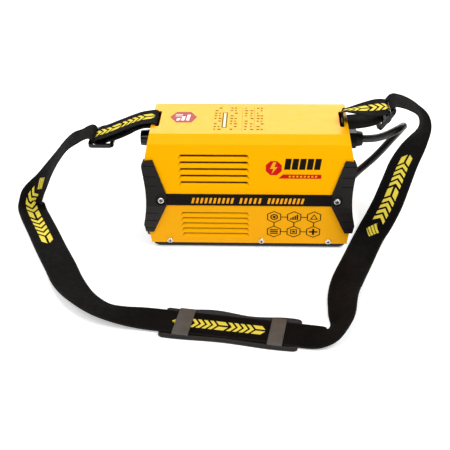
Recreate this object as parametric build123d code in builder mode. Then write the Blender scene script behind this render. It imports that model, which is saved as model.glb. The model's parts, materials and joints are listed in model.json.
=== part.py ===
from build123d import *

import os
from math import cos, radians, sin

os.makedirs("parts", exist_ok=True)

# Compact inverter stick welder with a shoulder strap.
# Millimetres, +Z up, origin on the floor under the middle of the casing.
# The controls and output sockets face -X, the fan and the mains cable face +X.

# Casing
TOP_Z = 166.0
SHOULDER_Z = 159.5
BEND_Z = 73.5
COVER_BOTTOM_Z = 8.5
TOP_HALF = 42.0
SIDE_HALF = 58.5
BOTTOM_HALF = 44.0
SHEET = 1.2
TOP_END_X = 122.0
END_X = 128.0
LOW_END_X = 129.0
BOTTOM_END_X = 127.0
END_KNEE_Z = 137.2
NOTCH_X = 124.5
NOTCH_LOW_Z = 30.6
NOTCH_HIGH_Z = 136.6
TAPER = (SIDE_HALF - BOTTOM_HALF) / (BEND_Z - COVER_BOTTOM_Z)

# Louvres pressed into both sides
LOUVRE_X = (-84.0, -1.5)
LOUVRE_LENGTH = LOUVRE_X[1] - LOUVRE_X[0]
LOUVRE_PITCH = 9.3
LOUVRE_COUNT = 5
LOUVRE_DEPTH = 2.2
LOUVRE_HEIGHT = 6.6
LOUVRE_SLANT = 2.6
UPPER_LOUVRE_OPENING = 3.2
LOWER_LOUVRE_OPENING = 2.3
UPPER_LOUVRE_Z = 145.9
LOWER_LOUVRE_DROP = 11.3

# End mouldings
PLATE_IN_X = 118.0
PLATE_OUT_X = 121.0
PLATE_LOW_Z = 6.8
EAR_PROUD = 2.6
POCKET_DEPTH = 2.0
EAR_SCREW = (110.0, 81.5)
SIDE_SCREW_X = (-102.7, 16.3, 102.7)
SIDE_SCREW_Z = 13.0

# Trim band along each side
BAND_LOW_Z = 74.2
BAND_HIGH_Z = 90.6
BAND_HALF = 103.1

# Front panel
KNOB_Z = 139.0
DISPLAY_Z = 108.0
SOCKET_Y = 29.0
SOCKET_Z = 25.0
SOCKET_BORE = 9.1

# Rear panel
FAN_Z = 53.0
FAN_SIZE = 80.0
FAN_DEPTH = 25.0
FAN_HOLE = 35.75
GLAND_Y = 18.0
GLAND_Z = 130.0
SWITCH_Y = -24.0
SWITCH_Z = 132.0
SWITCH_PIVOT_X = 118.5
ROCKER_TILT = 9.0

# Inside
BOARD_Z = 22.0
BOARD_T = 1.6
BOARD_TOP = BOARD_Z + BOARD_T
UPPER_BOARD_Z = 84.0
PAN_FLOOR = 1.5

# Webbing strap: thickness, width, and where its middle line lies.
# Each row is X, Y, Z, then the way its width points seen from above, then its bank, both in degrees.
WEB_T = 1.5
WEB_W = 40.0
PAD_CENTRE = (-18.0, -214.0)
PAD_TURN = -8.5
PAD_LENGTH = 165.0
PAD_WIDTH = 54.0
WEB_ON_PAD_Z = 4.2
STRAP_RUN = (
    (-206, 0, 141.2, 90, 0),
    (-215, 0, 139.4, 90, 0),
    (-229, 1, 133, 86, 8),
    (-243, 7, 117, 84, 18),
    (-260, 22, 91, 86, 26),
    (-276, 38, 64, 97, 28),
    (-293, 51, 36, 115, 22),
    (-311, 60, 8, 155, 0),
    (-308, 50, 2, 165, 0),
    (-298, 27, 2, 179, 0),
    (-280, -10, 2, 189, 0),
    (-260, -52, 2, 204, 0),
    (-240, -92, 2, 206, 0),
    (-222, -130, 4, 209, 6),
    (-200, -164, 8, 226, 16),
    (-172, -189, 9, 243, 16),
    (-146, -197, 7, 257, 8),
    (-119, -199, WEB_ON_PAD_Z, 261.5, 0),
    (77, -228, WEB_ON_PAD_Z, 261.5, 0),
    (90, -226, 8, 278, 18),
    (102, -212, 13, 305, 34),
    (109, -184, 14, 345, 34),
    (116, -150, 9, 350, 18),
    (124, -115, 3, 343, 2),
    (138, -75, 2, 340, 0),
    (153, -33, 2, 337, 0),
    (163, -9, 4, 337, -4),
    (174, 5, 16, 340, -14),
    (184, 14, 34, 347, -16),
    (193, 19, 62, 360, -16),
    (201, 20, 92, 368, -14),
    (210, 15, 121, 380, -8),
    (216, 8, 146, 400, 0),
    (214, 2, 167, 432, 0),
    (206, 1, 180, 449, 0),
    (193, 0, 188, 450, 0),
    (181, 0, 192, 450, 0),
)


def write(piece, name):
    piece.part.label = name
    export_step(piece.part, "parts/" + name + ".step")


def casing_section(inset):
    """End view of the closed casing, moved inwards by inset."""
    foot = BOTTOM_HALF - COVER_BOTTOM_Z * TAPER
    half = [(foot, 0), (SIDE_HALF, BEND_Z), (SIDE_HALF, SHOULDER_Z), (TOP_HALF, TOP_Z)]
    with BuildSketch(Plane.YZ) as section:
        with BuildLine():
            Polyline(*half, *[(-y, z) for y, z in reversed(half)], close=True)
        make_face()
        offset(amount=-inset, kind=Kind.INTERSECTION)
    return section.sketch


def side_half_width(z):
    """Half the casing's width at height z, between its bottom edge and its shoulder."""
    return min(SIDE_HALF, BOTTOM_HALF + (z - COVER_BOTTOM_Z) * TAPER)


def outward_plane(x, z):
    """Plane on the -Y side at x and z, with its normal pointing out of the casing."""
    lean = 0.0 if z >= BEND_Z else TAPER
    return Plane(
        origin=(x, -side_half_width(z), z), x_dir=(1, 0, 0), z_dir=(0, -1, -lean)
    )


def pan_head_screw(head_radius, head_height, radius, length):
    """Cross-recessed screw, seat on the XY plane, head up."""
    with BuildPart() as screw:
        Cylinder(
            head_radius,
            head_height,
            align=(Align.CENTER, Align.CENTER, Align.MIN),
        )
        fillet(screw.edges().group_by(Axis.Z)[-1], head_height * 0.6)
        Cylinder(
            radius, length, align=(Align.CENTER, Align.CENTER, Align.MAX)
        )
        with BuildSketch(Plane.XY.offset(head_height)):
            Rectangle(head_radius * 1.2, head_radius * 0.34)
            Rectangle(head_radius * 0.34, head_radius * 1.2)
        extrude(amount=-head_height * 0.7, mode=Mode.SUBTRACT)
    return screw.part


def louvre_wedge(grow):
    """Pressed-in hollow of a louvre, deepest along its top edge, enlarged by grow.

    X runs along the louvre from its top left corner, Z points out of the sheet.
    """
    length = LOUVRE_LENGTH
    deep = -LOUVRE_DEPTH - grow
    low = -LOUVRE_HEIGHT - grow
    top_left, top_right = (-grow, 0, 0), (length + grow, 0, 0)
    low_left = (-LOUVRE_SLANT - grow, low, 0)
    low_right = (length + LOUVRE_SLANT + grow, low, 0)
    deep_left, deep_right = (0.6 - grow, 0, deep), (length - 0.6 + grow, 0, deep)
    faces = (
        (top_left, top_right, low_right, low_left),
        (top_left, deep_left, deep_right, top_right),
        (deep_left, low_left, low_right, deep_right),
        (top_left, low_left, deep_left),
        (top_right, deep_right, low_right),
    )
    return Solid(
        Shell([Face(Wire.make_polygon([Vector(*p) for p in f])) for f in faces])
    )


# Cover: one sheet folded over the top and both sides, slotted for the strap.
with BuildPart() as top_cover:
    extrude(casing_section(0), amount=140, both=True)
    extrude(casing_section(SHEET), amount=140, both=True, mode=Mode.SUBTRACT)
    right_edge = [
        (TOP_END_X, TOP_Z),
        (END_X, END_KNEE_Z),
        (NOTCH_X, NOTCH_HIGH_Z),
        (NOTCH_X, NOTCH_LOW_Z),
        (LOW_END_X, NOTCH_LOW_Z - 0.6),
        (BOTTOM_END_X, COVER_BOTTOM_Z),
    ]
    with BuildSketch(Plane.XZ):
        with BuildLine():
            Polyline(
                *right_edge, *[(-x, z) for x, z in reversed(right_edge)], close=True
            )
        make_face()
    extrude(amount=80, both=True, mode=Mode.INTERSECT)
    with BuildSketch(Plane.XY.offset(TOP_Z)):
        with Locations((-114.6, 0), (114.6, 0)):
            SlotOverall(44, 5.2, rotation=90)
    extrude(amount=-5, mode=Mode.SUBTRACT)
    split(bisect_by=Plane.XZ, keep=Keep.TOP)
    louvre_tops = [UPPER_LOUVRE_Z - LOUVRE_PITCH * i for i in range(LOUVRE_COUNT)]
    louvre_tops += [
        BEND_Z - LOWER_LOUVRE_DROP - LOUVRE_PITCH * 0.97 * i
        for i in range(LOUVRE_COUNT)
    ]
    for top in louvre_tops:
        slope = 0.0 if top >= BEND_Z else TAPER
        opening = UPPER_LOUVRE_OPENING if top >= BEND_Z else LOWER_LOUVRE_OPENING
        seat = Plane(
            origin=(LOUVRE_X[0], -side_half_width(top), top),
            x_dir=(1, 0, 0),
            z_dir=(0, -1, -slope),
        )
        with Locations(seat.location):
            add(louvre_wedge(SHEET * 0.8))
            add(louvre_wedge(0), mode=Mode.SUBTRACT)
            with Locations((LOUVRE_LENGTH / 2, -opening / 2, -5)):
                Box(LOUVRE_LENGTH - 1.2, opening, 10, mode=Mode.SUBTRACT)
    for x in SIDE_SCREW_X:
        with BuildSketch(outward_plane(x, SIDE_SCREW_Z)):
            Circle(2.1)
        extrude(amount=-6, mode=Mode.SUBTRACT)
    for x in (-EAR_SCREW[0], EAR_SCREW[0]):
        with BuildSketch(outward_plane(x, EAR_SCREW[1])):
            Circle(2.2)
        extrude(amount=-6, mode=Mode.SUBTRACT)
    mirror(about=Plane.XZ)
write(top_cover, "top_cover")

# Base pan: stepped tray the cover screws onto. The machine stands on its flat underside.
PAN_STEP_Z = 5.0
PAN_LIP_Z = 8.3
with BuildPart() as base_pan:
    with BuildSketch(Plane.XY):
        RectangleRounded(242, 77, 5)
    with BuildSketch(Plane.XY.offset(PAN_STEP_Z)):
        RectangleRounded(249, 86.4, 5)
    loft()
    with BuildSketch(Plane.XY.offset(PAN_STEP_Z)):
        RectangleRounded(249, 86.4, 5)
    extrude(amount=1.5)
    for side in (-1, 1):
        with BuildSketch(Plane.YZ):
            with BuildLine():
                Polyline(
                    (side * 41.0, PAN_STEP_Z),
                    (side * 43.2, PAN_STEP_Z),
                    (side * 43.8, PAN_LIP_Z),
                    (side * 41.0, PAN_LIP_Z),
                    close=True,
                )
            make_face()
        extrude(amount=122, both=True)
    with BuildSketch(Plane.XY.offset(PAN_FLOOR)):
        RectangleRounded(239, 74.6, 4)
    with BuildSketch(Plane.XY.offset(PAN_STEP_Z + 1.6)):
        RectangleRounded(246, 82, 4)
    loft(mode=Mode.SUBTRACT)
    for side in (-1, 1):
        with BuildSketch(Plane.YZ):
            with BuildLine():
                Polyline(
                    (side * 41.0, PAN_LIP_Z - 1),
                    (side * 42.4, PAN_LIP_Z - 1),
                    (side * 44.8, 18.5),
                    (side * 43.2, 18.5),
                    (side * 41.0, PAN_LIP_Z),
                    close=True,
                )
            make_face()
        extrude(amount=117.5, both=True)
    with Locations((0, 0, 5)):
        with GridLocations(160, 68, 2, 2):
            Cylinder(1.6, 10, mode=Mode.SUBTRACT)
    split(bisect_by=Plane.XZ, keep=Keep.TOP)
    for x in SIDE_SCREW_X:
        with BuildSketch(outward_plane(x, SIDE_SCREW_Z)):
            Circle(2.06)
        extrude(amount=-6, mode=Mode.SUBTRACT)
    mirror(about=Plane.XZ)
write(base_pan, "base_pan")


def end_moulding():
    """Plastic end plate with an ear that wraps round each side, for the +X end."""
    with BuildPart() as moulding:
        # Ears: a shell outside and inside the sheet, cut to the ear's outline.
        extrude(casing_section(-EAR_PROUD), amount=140)
        extrude(casing_section(4.5), amount=140, mode=Mode.SUBTRACT)
        with BuildSketch(Plane.XZ):
            with BuildLine():
                Polyline((131.9, 127.5), (132.0, 131.4), (129.2, 137.6), (117.6, 138.4))
                Line((117.6, 138.4), (103.3, 91.6))
                Polyline((103.3, 91.6), (103.3, 74.0), (122.4, 29.0), (132.6, 29.4))
                Line((132.6, 29.4), (134.4, 42.0))
                Spline(
                    (134.4, 42.0),
                    (131.6, 56.0),
                    (129.0, 76.0),
                    (128.6, 91.0),
                    (130.0, 111.0),
                    (131.9, 127.5),
                )
            make_face()
        extrude(amount=80, both=True, mode=Mode.INTERSECT)
        # Room for the cover's sheet, whose edge stops inside the ear.
        with BuildPart(mode=Mode.PRIVATE) as sheet_room:
            extrude(casing_section(-0.05), amount=140)
            extrude(casing_section(SHEET + 0.1), amount=140, mode=Mode.SUBTRACT)
            with Locations((NOTCH_X + 0.2, 0, NOTCH_LOW_Z + 0.4)):
                Box(
                    20,
                    200,
                    NOTCH_HIGH_Z - NOTCH_LOW_Z - 0.8,
                    align=(Align.MIN, Align.CENTER, Align.MIN),
                    mode=Mode.SUBTRACT,
                )
        add(sheet_room.part, mode=Mode.SUBTRACT)
        extrude(casing_section(SHEET), amount=PLATE_IN_X, mode=Mode.SUBTRACT)
        # End plate.
        with BuildPart(mode=Mode.PRIVATE) as plate:
            extrude(casing_section(SHEET + 0.15), amount=PLATE_OUT_X)
            Box(2 * PLATE_IN_X, 200, 400, mode=Mode.SUBTRACT)
            with Locations((0, 0, PLATE_LOW_Z)):
                Box(
                    400,
                    200,
                    60,
                    align=(Align.CENTER, Align.CENTER, Align.MAX),
                    mode=Mode.SUBTRACT,
                )
            for side in (-1, 1):
                with Locations((120, side * 46, 4)):
                    Box(20, 10.6, 9.4, mode=Mode.SUBTRACT)
        add(plate.part)
        # Notch for the webbing under the cover's edge strip.
        with Locations((PLATE_OUT_X, 0, 170)):
            Box(12, 44, 18, mode=Mode.SUBTRACT)
        # Screw bosses behind the ears, ribbed back to the plate.
        for side in (-1, 1):
            with Locations(
                Location((EAR_SCREW[0], side * 52.2, EAR_SCREW[1]), (90, 0, 0))
            ):
                Cylinder(4.6, 9.8)
            with Locations(((EAR_SCREW[0] + PLATE_IN_X) / 2 + 2, side * 51.6, EAR_SCREW[1])):
                Box(10, 8, 4)
            with BuildSketch(
                Plane((EAR_SCREW[0], side * 70, EAR_SCREW[1]), z_dir=(0, side, 0))
            ):
                Circle(2.06)
            extrude(amount=-30, mode=Mode.SUBTRACT)
            with BuildSketch(
                Plane(
                    (EAR_SCREW[0], side * (SIDE_HALF + EAR_PROUD), EAR_SCREW[1]),
                    z_dir=(0, side, 0),
                )
            ):
                with Locations((2.0 * side, 0)):
                    SlotOverall(16.4, 12.4)
            extrude(amount=-POCKET_DEPTH, mode=Mode.SUBTRACT)
        # Grip grooves across the ears.
        for z in (131, 116, 103, 62, 49, 36):
            width = side_half_width(z) + EAR_PROUD
            for side in (-1, 1):
                with Locations((134, side * (width + 0.2), z)):
                    Box(38, 2.0, 1.0, mode=Mode.SUBTRACT)
    return moulding.part


moulding = end_moulding()

# Front bezel: openings for the potentiometer, display, lamps, sockets and air.
with BuildPart() as front_bezel:
    add(moulding.mirror(Plane.YZ))
    with BuildSketch(Plane.YZ.offset(-PLATE_OUT_X - 1)):
        with Locations((0, KNOB_Z)):
            Circle(4.6)
        with Locations((0, DISPLAY_Z)):
            Rectangle(47, 23)
        with Locations((24, KNOB_Z), (-24, KNOB_Z)):
            Circle(2.6)
        with Locations((-SOCKET_Y, SOCKET_Z), (SOCKET_Y, SOCKET_Z)):
            Circle(8.6)
        with Locations((0, 67)):
            with GridLocations(9, 0, 9, 1):
                SlotOverall(26, 3.4, rotation=90)
    extrude(amount=6, mode=Mode.SUBTRACT)
write(front_bezel, "front_bezel")

# Rear bezel: fan grille, gland hole and switch cut-out.
with BuildPart() as rear_bezel:
    add(moulding)
    with BuildSketch(Plane.YZ.offset(PLATE_IN_X - 1)):
        with Locations((0, FAN_Z)):
            with GridLocations(7.2, 0, 11, 1):
                Rectangle(4.6, 90)
            Circle(37, mode=Mode.INTERSECT)
            Circle(15, mode=Mode.SUBTRACT)
            Rectangle(90, 3, mode=Mode.SUBTRACT)
            with GridLocations(2 * FAN_HOLE, 2 * FAN_HOLE, 2, 2):
                Circle(2.2)
        with Locations((GLAND_Y, GLAND_Z)):
            Circle(10.15)
        with Locations((SWITCH_Y, SWITCH_Z)):
            Rectangle(22, 28.4)
    extrude(amount=6, mode=Mode.SUBTRACT)
write(rear_bezel, "rear_bezel")

# Trim bands stuck to the cover between the ears, bent with the fold.
for side, name in ((-1, "left_side_band"), (1, "right_side_band")):
    with BuildPart() as side_band:
        with Locations((0, side * (SIDE_HALF + 0.5), (BAND_LOW_Z + BAND_HIGH_Z) / 2)):
            Box(2 * BAND_HALF, 0.9, BAND_HIGH_Z - BAND_LOW_Z)
        fillet(side_band.edges().filter_by(Axis.X).group_by(Axis.Y)[0 if side < 0 else -1], 0.4)
    write(side_band, name)

side_screw = pan_head_screw(4.0, 2.4, 2.0, 4.0)
with BuildPart() as cover_screws:
    for side in (-1, 1):
        for x in SIDE_SCREW_X:
            near = outward_plane(x, SIDE_SCREW_Z).offset(0.02)
            seat = near if side < 0 else Plane(
                origin=(x, -near.origin.Y, near.origin.Z),
                x_dir=(-1, 0, 0),
                z_dir=(0, 1, -TAPER),
            )
            with Locations(seat.location):
                add(side_screw)
write(cover_screws, "cover_screws")

ear_screw = pan_head_screw(4.2, 2.4, 2.0, 12.0)
with BuildPart() as bezel_screws:
    for side in (-1, 1):
        for x in (-EAR_SCREW[0], EAR_SCREW[0]):
            seat_y = side * (SIDE_HALF + EAR_PROUD - POCKET_DEPTH + 0.02)
            seat = Plane((x, seat_y, EAR_SCREW[1]), x_dir=(1, 0, 0), z_dir=(0, side, 0))
            with Locations(seat.location):
                add(ear_screw)
write(bezel_screws, "bezel_screws")

# Control fascia, its window and the lamps.
FASCIA_X = -PLATE_OUT_X - 0.05
with BuildPart() as control_fascia:
    with BuildSketch(Plane.YZ.offset(FASCIA_X)):
        with Locations((0, 126)):
            RectangleRounded(70, 66, 5)
        with Locations((0, KNOB_Z)):
            Circle(4.7, mode=Mode.SUBTRACT)
        with Locations((0, DISPLAY_Z)):
            RectangleRounded(44, 20, 2, mode=Mode.SUBTRACT)
        with Locations((24, KNOB_Z), (-24, KNOB_Z)):
            Circle(1.6, mode=Mode.SUBTRACT)
    extrude(amount=-1.2)
write(control_fascia, "control_fascia")

with BuildPart() as display_window:
    with BuildSketch(Plane.YZ.offset(FASCIA_X)):
        with Locations((0, DISPLAY_Z)):
            RectangleRounded(43.6, 19.6, 1.8)
    extrude(amount=-1.0)
write(display_window, "display_window")

BOARD_FACE_X = -111.0
with BuildPart() as control_board:
    with BuildSketch(Plane.YZ.offset(BOARD_FACE_X)):
        with Locations((0, 124)):
            Rectangle(72, 60)
        with Locations((0, KNOB_Z)):
            Circle(5.0, mode=Mode.SUBTRACT)
    extrude(amount=BOARD_T)
write(control_board, "control_board")

with BuildPart() as display_module:
    with Locations((-115.6, 0, DISPLAY_Z)):
        Box(9.0, 43, 19)
    chamfer(display_module.faces().sort_by(Axis.X)[0].edges(), 0.6)
write(display_module, "display_module")

with BuildPart() as indicator_leds:
    for y in (-24, 24):
        with BuildSketch(Plane.YZ.offset(BOARD_FACE_X - 0.05)):
            with Locations((y, KNOB_Z)):
                Circle(1.5)
        extrude(amount=-11.6)
    fillet(indicator_leds.edges().group_by(Axis.X)[0], 1.2)
write(indicator_leds, "indicator_leds")

# Current control: potentiometer, its nut, shaft and knob.
with BuildPart() as potentiometer:
    with BuildSketch(Plane.YZ.offset(-PLATE_IN_X + 0.1)):
        with Locations((0, KNOB_Z)):
            Circle(8.5)
    extrude(amount=6.5)
    with BuildSketch(Plane.YZ.offset(-PLATE_IN_X + 0.1)):
        with Locations((0, KNOB_Z)):
            Circle(4.5)
    extrude(amount=-8.0)
    with BuildSketch(Plane.YZ.offset(-127)):
        with Locations((0, KNOB_Z)):
            Circle(3.06)
    extrude(amount=12.5, mode=Mode.SUBTRACT)
write(potentiometer, "potentiometer")

with BuildPart() as pot_nut:
    with BuildSketch(Plane.YZ.offset(FASCIA_X - 1.25)):
        with Locations((0, KNOB_Z)):
            RegularPolygon(6.0, 6, major_radius=False)
            Circle(4.56, mode=Mode.SUBTRACT)
    extrude(amount=-2.2)
write(pot_nut, "pot_nut")

KNOB_BACK_X = -123.2
with BuildPart() as pot_shaft:
    with BuildSketch(Plane.YZ.offset(-134)):
        with Locations((0, KNOB_Z)):
            Circle(3.0)
    extrude(amount=19.2)
write(pot_shaft, "pot_shaft")

with BuildPart() as current_knob:
    with BuildSketch(Plane.YZ.offset(KNOB_BACK_X)):
        with Locations((0, KNOB_Z)):
            Circle(11.0)
    extrude(amount=-15.0, taper=5)
    fillet(current_knob.edges().group_by(Axis.X)[0], 1.2)
    with BuildSketch(Plane.YZ.offset(KNOB_BACK_X)):
        with Locations((0, KNOB_Z)):
            Circle(8.0)
    extrude(amount=-4.6, mode=Mode.SUBTRACT)
    with BuildSketch(Plane.YZ.offset(KNOB_BACK_X)):
        with Locations((0, KNOB_Z)):
            Circle(3.02)
    extrude(amount=-11.0, mode=Mode.SUBTRACT)
    with Locations((-130.5, 0, KNOB_Z)):
        with Locations(Location((0, 0, 0), (0, 90, 0))):
            with PolarLocations(11.4, 20):
                Cylinder(0.9, 11, mode=Mode.SUBTRACT)
    with Locations((-138.2, 0, KNOB_Z + 6)):
        Box(1.2, 1.4, 6.5, mode=Mode.SUBTRACT)
write(current_knob, "current_knob")

# Output sockets: insulating body, brass insert, lock ring and stud nut.
SOCKET_FACE_X = -133.0
for y, name in ((-SOCKET_Y, "negative"), (SOCKET_Y, "positive")):
    with BuildPart() as socket_body:
        with BuildSketch(Plane.YZ.offset(-PLATE_OUT_X - 0.05)):
            with Locations((y, SOCKET_Z)):
                Circle(13.0)
        extrude(amount=-(-SOCKET_FACE_X - PLATE_OUT_X - 0.05), taper=4)
        fillet(socket_body.edges().group_by(Axis.X)[0], 1.4)
        with BuildSketch(Plane.YZ.offset(-PLATE_OUT_X - 0.1)):
            with Locations((y, SOCKET_Z)):
                Circle(8.5)
        extrude(amount=8.4)
        with BuildSketch(Plane.YZ.offset(SOCKET_FACE_X - 1)):
            with Locations((y, SOCKET_Z)):
                Circle(7.05)
        extrude(amount=40, mode=Mode.SUBTRACT)
    write(socket_body, name + "_socket_body")
    with BuildPart() as socket_insert:
        with BuildSketch(Plane.YZ.offset(SOCKET_FACE_X + 1)):
            with Locations((y, SOCKET_Z)):
                Circle(7.0)
        extrude(amount=27.0)
        with BuildSketch(Plane.YZ.offset(-105.5)):
            with Locations((y, SOCKET_Z)):
                Circle(4.0)
        extrude(amount=14.5)
        with BuildSketch(Plane.YZ.offset(SOCKET_FACE_X)):
            with Locations((y, SOCKET_Z)):
                Circle(SOCKET_BORE / 2)
        extrude(amount=25.0, mode=Mode.SUBTRACT)
        with Locations((SOCKET_FACE_X + 3, y, SOCKET_Z + 4.6)):
            Box(16, 2.6, 3.0, mode=Mode.SUBTRACT)
    write(socket_insert, name + "_socket_insert")

with BuildPart() as socket_locknuts:
    for y in (-SOCKET_Y, SOCKET_Y):
        with BuildSketch(Plane.YZ.offset(-PLATE_IN_X + 0.1)):
            with Locations((y, SOCKET_Z)):
                RegularPolygon(11.5, 6, major_radius=False)
                Circle(8.56, mode=Mode.SUBTRACT)
        extrude(amount=4.5)
write(socket_locknuts, "socket_locknuts")

with BuildPart() as socket_stud_nuts:
    for y in (-SOCKET_Y, SOCKET_Y):
        with BuildSketch(Plane.YZ.offset(-102.8)):
            with Locations((y, SOCKET_Z)):
                RegularPolygon(6.5, 6, major_radius=False)
                Circle(4.06, mode=Mode.SUBTRACT)
        extrude(amount=6.0)
write(socket_stud_nuts, "socket_stud_nuts")

# Copper bars from the sockets to the power stage.
for side, name, reach in ((-1, "negative_busbar", -6.0), (1, "positive_busbar", -88.0)):
    y = side * SOCKET_Y
    with BuildPart() as busbar:
        with BuildSketch(Plane.YZ.offset(-104.9)):
            with Locations((y, SOCKET_Z - 8)):
                Rectangle(12, 50, align=(Align.CENTER, Align.MIN))
            with Locations((y, SOCKET_Z)):
                Circle(4.06, mode=Mode.SUBTRACT)
        extrude(amount=2.0)
        with Locations((-104.9, y, 65.0)):
            Box(reach + 104.9, 12, 2, align=(Align.MIN, Align.CENTER, Align.MIN))
    write(busbar, name)

# Main board on its standoffs.
with BuildPart() as main_board:
    with BuildSketch(Plane.XY.offset(BOARD_Z)):
        with Locations((-1, 0)):
            Rectangle(178, 82)
        with GridLocations(160, 68, 2, 2):
            Circle(1.6, mode=Mode.SUBTRACT)
    extrude(amount=BOARD_T)
write(main_board, "main_board")

with BuildPart() as board_standoffs:
    with BuildSketch(Plane.XY.offset(PAN_FLOOR + 0.02)):
        with GridLocations(160, 68, 2, 2):
            RegularPolygon(3.5, 6)
            Circle(1.56, mode=Mode.SUBTRACT)
    extrude(amount=BOARD_Z - PAN_FLOOR - 0.04)
write(board_standoffs, "board_standoffs")

board_screw = pan_head_screw(2.8, 1.8, 1.5, 8.0)
with BuildPart() as board_screws:
    for x in (-80, 80):
        for y in (-34, 34):
            with Locations((x, y, BOARD_TOP + 0.02)):
                add(board_screw)
write(board_screws, "board_screws")

# Finned heatsinks with the power devices clipped to their inner faces.
SINK_LENGTH = 70.0
SINK_X = 40.0
for side, name in ((1, "inverter_heatsink"), (-1, "rectifier_heatsink")):
    with BuildPart() as heatsink:
        with BuildSketch(Plane.YZ.offset(SINK_X - SINK_LENGTH / 2)):
            with Locations((side * 17, BOARD_TOP + 2)):
                Rectangle(5, 50, align=(Align.CENTER, Align.MIN))
            for i in range(9):
                with Locations((side * 17, BOARD_TOP + 2.8 + 6.05 * i)):
                    Rectangle(
                        22,
                        1.6,
                        align=(Align.MIN if side > 0 else Align.MAX, Align.CENTER),
                    )
        extrude(amount=SINK_LENGTH)
    write(heatsink, name)

for side, name in ((1, "transistors"), (-1, "output_diodes")):
    with BuildPart() as devices:
        for i in range(4):
            x = SINK_X - 25.5 + 17 * i
            with Locations((x, side * 11.95, BOARD_TOP + 26)):
                Box(15.8, 4.9, 20.8)
            with Locations((x, side * 12.6, BOARD_TOP + 8)):
                with GridLocations(5.4, 0, 3, 1):
                    Box(1.2, 0.7, 15.9)
    write(devices, name)

# Upper board, over everything on the main one, with the input rectifier and the bus capacitors.
UPPER_BOARD_POSTS = [(x, y) for x in (1, 79) for y in (-25, 25)] + [(-60, -38.2), (-60, 38.2)]
with BuildPart() as capacitor_board:
    with BuildSketch(Plane.XY.offset(UPPER_BOARD_Z)):
        with Locations((-5, 0)):
            Rectangle(182, 96)
        with Locations(*UPPER_BOARD_POSTS):
            Circle(1.6, mode=Mode.SUBTRACT)
    extrude(amount=BOARD_T)
write(capacitor_board, "capacitor_board")

with BuildPart() as capacitor_board_posts:
    with BuildSketch(Plane.XY.offset(BOARD_TOP + 0.02)):
        with Locations(*UPPER_BOARD_POSTS):
            RegularPolygon(3.5, 6)
    extrude(amount=UPPER_BOARD_Z - BOARD_TOP - 0.04)
write(capacitor_board_posts, "capacitor_board_posts")

with BuildPart() as bus_capacitors:
    with BuildSketch(Plane.XY.offset(UPPER_BOARD_Z + BOARD_T + 0.02)):
        with Locations((12, 22), (12, -22), (48, 22)):
            Circle(15)
    extrude(amount=42)
    fillet(bus_capacitors.edges().group_by(Axis.Z)[-1], 1.5)
write(bus_capacitors, "bus_capacitors")

with BuildPart() as mains_rectifier:
    with Locations((50, -22, UPPER_BOARD_Z + BOARD_T + 5.7)):
        Box(28, 28, 11)
        Cylinder(2.6, 11, mode=Mode.SUBTRACT)
    fillet(mains_rectifier.edges().filter_by(Axis.Z), 1.0)
write(mains_rectifier, "mains_rectifier")

# Transformer: E core pair with the winding round its middle leg.
TRAFO_X = -36.0
with BuildPart() as transformer_core:
    with BuildSketch(Plane.XZ):
        with Locations((TRAFO_X, BOARD_TOP + 24.1)):
            Rectangle(44, 48)
            with Locations((-10.5, 0), (10.5, 0)):
                Rectangle(9, 34, mode=Mode.SUBTRACT)
    extrude(amount=11, both=True)
write(transformer_core, "transformer_core")

with BuildPart() as transformer_winding:
    with BuildSketch(Plane.XY.offset(BOARD_TOP + 24.1)):
        with Locations((TRAFO_X, 0)):
            RectangleRounded(29.6, 39.6, 4)
            RectangleRounded(12.6, 22.6, 0.5, mode=Mode.SUBTRACT)
    extrude(amount=16.6, both=True)
write(transformer_winding, "transformer_winding")

# Output choke: toroid with a winding that leaves a gap at the top.
CHOKE_X = -75.0
CHOKE_Z = BOARD_TOP + 26.0
choke_axis = Plane((CHOKE_X, 0, CHOKE_Z), x_dir=(0, 1, 0), z_dir=(1, 0, 0))
with BuildPart() as choke_core:
    with BuildSketch(choke_axis.offset(-7)):
        Circle(21)
        Circle(12, mode=Mode.SUBTRACT)
    extrude(amount=14)
    fillet(choke_core.edges(), 1.5)
write(choke_core, "choke_core")

with BuildPart() as choke_winding:
    with BuildSketch(Plane.XZ):
        with Locations((CHOKE_X, CHOKE_Z - 16.5)):
            RectangleRounded(20, 15, 2)
            RectangleRounded(14.4, 9.4, 0.5, mode=Mode.SUBTRACT)
    revolve(
        axis=Axis((CHOKE_X, 0, CHOKE_Z), (1, 0, 0)), revolution_arc=300
    )
write(choke_winding, "choke_winding")

# Fan: frame with its bearing arm, rotor, and the screws through the grille.
FAN_X = PLATE_IN_X - 0.1
fan_plane = Plane((FAN_X - FAN_DEPTH, 0, FAN_Z), x_dir=(0, 1, 0), z_dir=(1, 0, 0))
with BuildPart() as fan_frame:
    with BuildSketch(fan_plane):
        RectangleRounded(FAN_SIZE, FAN_SIZE, 4)
        Circle(38, mode=Mode.SUBTRACT)
        with GridLocations(2 * FAN_HOLE, 2 * FAN_HOLE, 2, 2):
            Circle(2.06, mode=Mode.SUBTRACT)
    extrude(amount=FAN_DEPTH)
    with BuildSketch(fan_plane):
        Circle(15)
        with PolarLocations(26, 4, start_angle=20):
            Rectangle(26, 4)
        Circle(1.56, mode=Mode.SUBTRACT)
    extrude(amount=3.5)
write(fan_frame, "fan_frame")

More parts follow.
